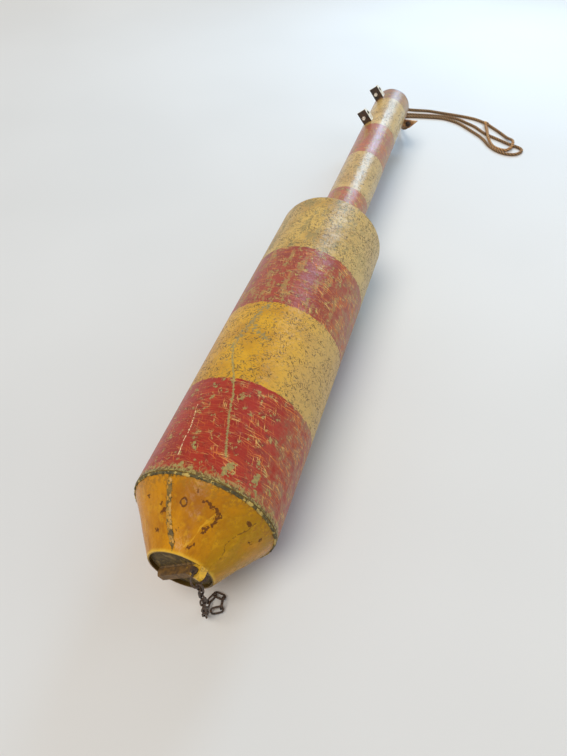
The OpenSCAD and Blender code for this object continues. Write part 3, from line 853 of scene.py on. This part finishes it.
def makeDentedCone():
    rim, bore, end, bevel = coneShape["rim"], coneShape["bore"], -coneShape["length"], coneShape["bevel"]
    floorAt = end + coneShape["recess"] + coneShape["plate"]
    profile = [(0.0, 0.0), (floatRadius, 0.0)]
    for k in range(1, coneShape["rings"]):
        share = k / coneShape["rings"]
        profile.append((floatRadius + (rim - floatRadius) * share, end * share))
    profile += [(rim, end + bevel), (rim - bevel, end), (bore + bevel, end), (bore, end + bevel),
                (bore, floorAt), (0.0, floorAt)]
    bm = bmesh.new()
    verts = [bm.verts.new((reach, along, 0)) for reach, along in profile]
    for a, b in zip(verts, verts[1:]):
        bm.edges.new((a, b))
    bmesh.ops.spin(bm, geom=list(bm.verts) + list(bm.edges), cent=(0, 0, 0), axis=(0, 1, 0), angle=2 * math.pi,
                   steps=coneShape["steps"], use_merge=True)
    bmesh.ops.remove_doubles(bm, verts=bm.verts, dist=1e-6)
    bmesh.ops.recalc_face_normals(bm, faces=bm.faces)
    for v in bm.verts:
        reach = math.hypot(v.co.x, v.co.z)
        if v.co.y < -1e-4 and abs(reach - coneRadius(v.co.y)) < 1e-4:
            inward = coneDepth(v.co.y, math.atan2(v.co.z, v.co.x)) / reach
            v.co.x -= v.co.x * inward
            v.co.z -= v.co.z * inward
    for edge in bm.edges:
        edge.smooth = len(edge.link_faces) < 2 or edge.calc_face_angle(0) < coneShape["sharp"]
    bmesh.ops.translate(bm, verts=bm.verts, vec=(0, seamY, axisZ))
    cone = newPiece("dentedCone", bm, "cone", "buoy")
    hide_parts("bottom_cone")


makeDentedCone()
print("stage: cone made")


# chain links: a merged copy of the part's rings, rounded
def makeChain(name, nodeName):
    bm = bmesh.new()
    bm.from_mesh(nodes[nodeName].data)
    bmesh.ops.remove_doubles(bm, verts=bm.verts, dist=2e-6)
    bmesh.ops.join_triangles(bm, faces=bm.faces, angle_face_threshold=0.35, angle_shape_threshold=1.2)
    piece = newPiece(name, bm, "chain", "mooring_chain")
    smooth = piece.modifiers.new("smooth", "SUBSURF")
    smooth.levels = smooth.render_levels = 2
    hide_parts(nodeName)


makeChain("chainToFloor", "hanging_chain")
makeChain("chainOnFloor", "heaped_chain")
print("stage: chain made")

# weld beads round the buoy in metres, kept inside the float's own radius
ringBeads = {
    "bottomSeamWeld": {"along": -0.0035, "radius": 0.1985, "wide": 0.0056, "high": 0.0036, "look": "seamWeld"},
    "topSeamWeld": {"along": 1.289, "radius": 0.2003, "wide": 0.0036, "high": 0.0022, "look": "shoulderWeld"},
    "mastFootWeld": {"along": 1.4455, "radius": 0.0925, "wide": 0.0045, "high": 0.0045, "look": "shoulderWeld"},
}
beadSizes = {"limit": 0.2028, "corners": 8, "steps": 340, "wander": 0.3, "rough": 0.34, "coarse": 85, "fine": 240,
             "fineShare": 0.26, "stripTurn": 107, "stripSink": 0.001, "plateOut": 0.0105, "plateAlong": -0.1485,
             "bracketTurn": 128, "footRadius": 0.0905}


def makeRingBead(name, bead):
    sizes = beadSizes
    bm = bmesh.new()
    ring = bmesh.ops.create_circle(bm, segments=sizes["corners"], radius=1)["verts"]
    for v in ring:
        v.co = Vector((bead["radius"] + v.co.x * bead["high"], v.co.y * bead["wide"], 0))
    bmesh.ops.spin(bm, geom=list(bm.verts) + list(bm.edges), cent=(0, 0, 0), axis=(0, 1, 0),
                   angle=2 * math.pi, steps=sizes["steps"], use_merge=True)
    bmesh.ops.remove_doubles(bm, verts=bm.verts, dist=1e-6)
    bmesh.ops.recalc_face_normals(bm, faces=bm.faces)
    for v in bm.verts:
        out = Vector((v.co.x, 0, v.co.z)).normalized()
        middle = out * bead["radius"]
        swell = (sizes["rough"] * noise.noise(middle * sizes["coarse"])
                 + sizes["fineShare"] * noise.noise(middle * sizes["fine"] + v.co * 60))
        v.co = middle + (v.co - middle) * (1 + swell)
        v.co.y += sizes["wander"] * bead["wide"] * noise.noise(middle * 60 + Vector((9, 3, 1)))
        reach = Vector((v.co.x, 0, v.co.z)).length
        if reach > sizes["limit"]:
            v.co -= out * (reach - sizes["limit"])
    bmesh.ops.translate(bm, verts=bm.verts, vec=(0, seamY + bead["along"], axisZ))
    newPiece(name, bm, bead["look"], "buoy")


for beadName, bead in ringBeads.items():
    makeRingBead(beadName, bead)

# weld beads along lines: the strip's [along, angle], then the mooring plate's sides and the brackets' feet
stripStops = ((-0.012, 110.6), (-0.051, 110.0), (-0.078, 109.0), (-0.101, 107.0), (-0.131, 101.5), (-0.147, 97.5))
lineBeads = {"coneStripWeld": {
    "stops": [onBuoy(angle, coneRadius(along) - beadSizes["stripSink"], 0, along) for along, angle in stripStops],
    "out": onBuoy(beadSizes["stripTurn"], 1, 0, 0) - onBuoy(0, 0, 0, 0), "wide": 0.008, "high": 0.0024,
    "look": "coneWeld", "slot": "buoy_paint"}}
for key, side in (("Upper", 1), ("Lower", -1)):
    lineBeads["plateWeld" + key] = {
        "stops": [onBuoy(mooringPlate["turn"], u, side * beadSizes["plateOut"], beadSizes["plateAlong"])
                  for u in (-0.079, -0.03, 0.02, 0.079)],
        "out": Vector((0, -1, 0)), "wide": 0.004, "high": 0.0036, "look": "tailWeld", "slot": "bare_plate"}
for key, along in (("lower", 2.2045), ("upper", 2.4825)):
    lineBeads[key + "BracketWeld"] = {
        "stops": [onBuoy(beadSizes["bracketTurn"], math.sqrt(beadSizes["footRadius"] ** 2 - across ** 2),
                         across, along) for across in (-0.02, -0.01, 0.0, 0.01, 0.02)],
        "out": Vector((0, -1, 0)), "wide": 0.003, "high": 0.0026, "look": "tailWeld", "slot": "bracket_steel"}
for beadName, bead in lineBeads.items():
    bm = bmesh.new()
    sweepBar(bm, smoothRoute(bead["stops"], bead["wide"] * 0.6), bead["wide"], bead["high"], bead["out"],
             rough=beadSizes["rough"])
    newPiece(beadName, bm, bead["look"], "buoy")
print("stage: weld beads made")

# the floor
floorPaint = {"pale": (0.7, 0.69, 0.67, 1), "deep": (0.67, 0.66, 0.64, 1), "rough": 0.85, "shine": 0.1,
              "halfSize": 30}
floorLook, floorTree = newMaterial("paleFloor", Roughness=floorPaint["rough"],
                                   Specular_IOR_Level=floorPaint["shine"])
floorTone = ramp(grain(objectPlace(floorTree), 0.7, 2), 0.3, 0.7)
dressed(floorLook, blendColour(floorTone, floorPaint["pale"], floorPaint["deep"]))
bm = bmesh.new()
bmesh.ops.create_grid(bm, x_segments=1, y_segments=1, size=floorPaint["halfSize"])
floorMesh = bpy.data.meshes.new("floor")
bm.to_mesh(floorMesh)
bm.free()
floorMesh.materials.append(floorLook)
floor = bpy.data.objects.new("floor", floorMesh)
scene.collection.objects.link(floor)

lamps = [
    {"name": "sun", "kind": "SUN", "place": (-1.2, -2.6, 5.6), "aim": (0, -0.2, 0), "angle": 38, "power": 2.15,
     "tint": (1.0, 0.95, 0.87)},
    {"name": "coolLight", "kind": "AREA", "place": (0.68, 4.2, 2.65), "aim": (0.3, 0.0, 1.6), "wide": 1.6,
     "tall": 2.5, "power": 122, "tint": (0.44, 0.72, 1.0)},
    {"name": "sideFill", "kind": "AREA", "place": (3.2, 0.4, 2.6), "aim": (0, 0.2, 0.2), "wide": 2.4,
     "tall": 2.4, "power": 20, "tint": (0.9, 0.95, 1.0)},
]
for lamp in lamps:
    data = bpy.data.lights.new(lamp["name"], lamp["kind"])
    if lamp["kind"] == "AREA":
        data.shape = "RECTANGLE"
        data.size = lamp["wide"]
        data.size_y = lamp["tall"]
    else:
        data.angle = math.radians(lamp["angle"])
    data.energy = lamp["power"]
    data.color = lamp["tint"]
    light = bpy.data.objects.new(lamp["name"], data)
    scene.collection.objects.link(light)
    light.location = lamp["place"]
    light.rotation_mode = "QUATERNION"
    light.rotation_quaternion = (Vector(lamp["aim"]) - Vector(lamp["place"])).to_track_quat("-Z", "Y")

# the pale background is seen by the camera and in shine, and the buoy is lit by a weaker sky
sky = {"seen": (0.8, 0.8, 0.8, 1), "light": (0.93, 0.95, 1.0, 1), "strength": 0.34}
world = bpy.data.worlds.new("studio")
scene.world = world
world.use_nodes = True
skyTree = world.node_tree
skyRays = addNode(skyTree, "LightPath")
skySeen = most(*[skyRays.outputs["Is " + kind + " Ray"] for kind in ("Camera", "Glossy", "Transmission")])
background = skyTree.nodes["Background"]
skyTree.links.new(blendColour(skySeen, sky["light"], sky["seen"]), background.inputs["Color"])
skyTree.links.new(scaled(skySeen, 1 - sky["strength"], sky["strength"]), background.inputs["Strength"])
print("stage: light set")
